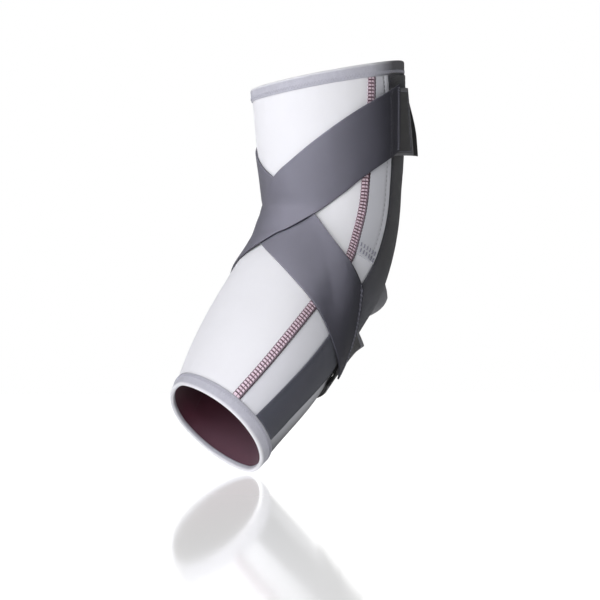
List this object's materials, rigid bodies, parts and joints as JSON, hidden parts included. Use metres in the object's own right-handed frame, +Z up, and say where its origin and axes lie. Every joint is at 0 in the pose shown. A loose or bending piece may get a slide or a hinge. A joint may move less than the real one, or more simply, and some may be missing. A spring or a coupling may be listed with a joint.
{
  "type": "elbow brace",
  "caption": "Bent, tapering fabric elbow sleeve, open at top and bottom, with crossing elastic straps over the crook, each ending in a stiff hook-and-loop tab.",
  "frame": {"origin": "middle of the elbow's bend, on the centreline of the hollow, where the elbow sits", "axes": "+Z up along the upper arm, -X to the crook of the elbow, +X to the point of the elbow, -Y to the outer side of the arm"},
  "size_m": [0.168, 0.1202, 0.2875],
  "materials": {
    "white_cloth": "matt knitted face of a foam laminate",
    "grey_cloth": "matt light grey knit",
    "pocket_cloth": "slightly shiny light grey tricot",
    "lining_cloth": "dark maroon brushed knit",
    "binding_tape": "light grey elastic edge tape",
    "seam_thread": "maroon flat-lock stitching",
    "dark_webbing": "dark blue-grey loop tape",
    "strap_elastic": "blue-grey woven elastic, satin",
    "tab_cloth": "charcoal stitched fabric",
    "hook_plastic": "black moulded hook tape"
  },
  "bodies": {
    "root": {"front_panel": "white_cloth", "back_panel": "grey_cloth", "lining": "lining_cloth", "top_binding": "binding_tape", "bottom_binding": "binding_tape", "lateral_seam": "seam_thread", "medial_seam": "seam_thread", "lateral_stay_pocket": "pocket_cloth", "medial_stay_pocket": "pocket_cloth", "lateral_band": "dark_webbing", "medial_band": "dark_webbing", "over_strap": "strap_elastic", "under_strap": "strap_elastic", "upper_tab": "tab_cloth", "lower_tab": "tab_cloth", "upper_hook_pad": "hook_plastic", "lower_hook_pad": "hook_plastic"}
  },
  "joints": []
}
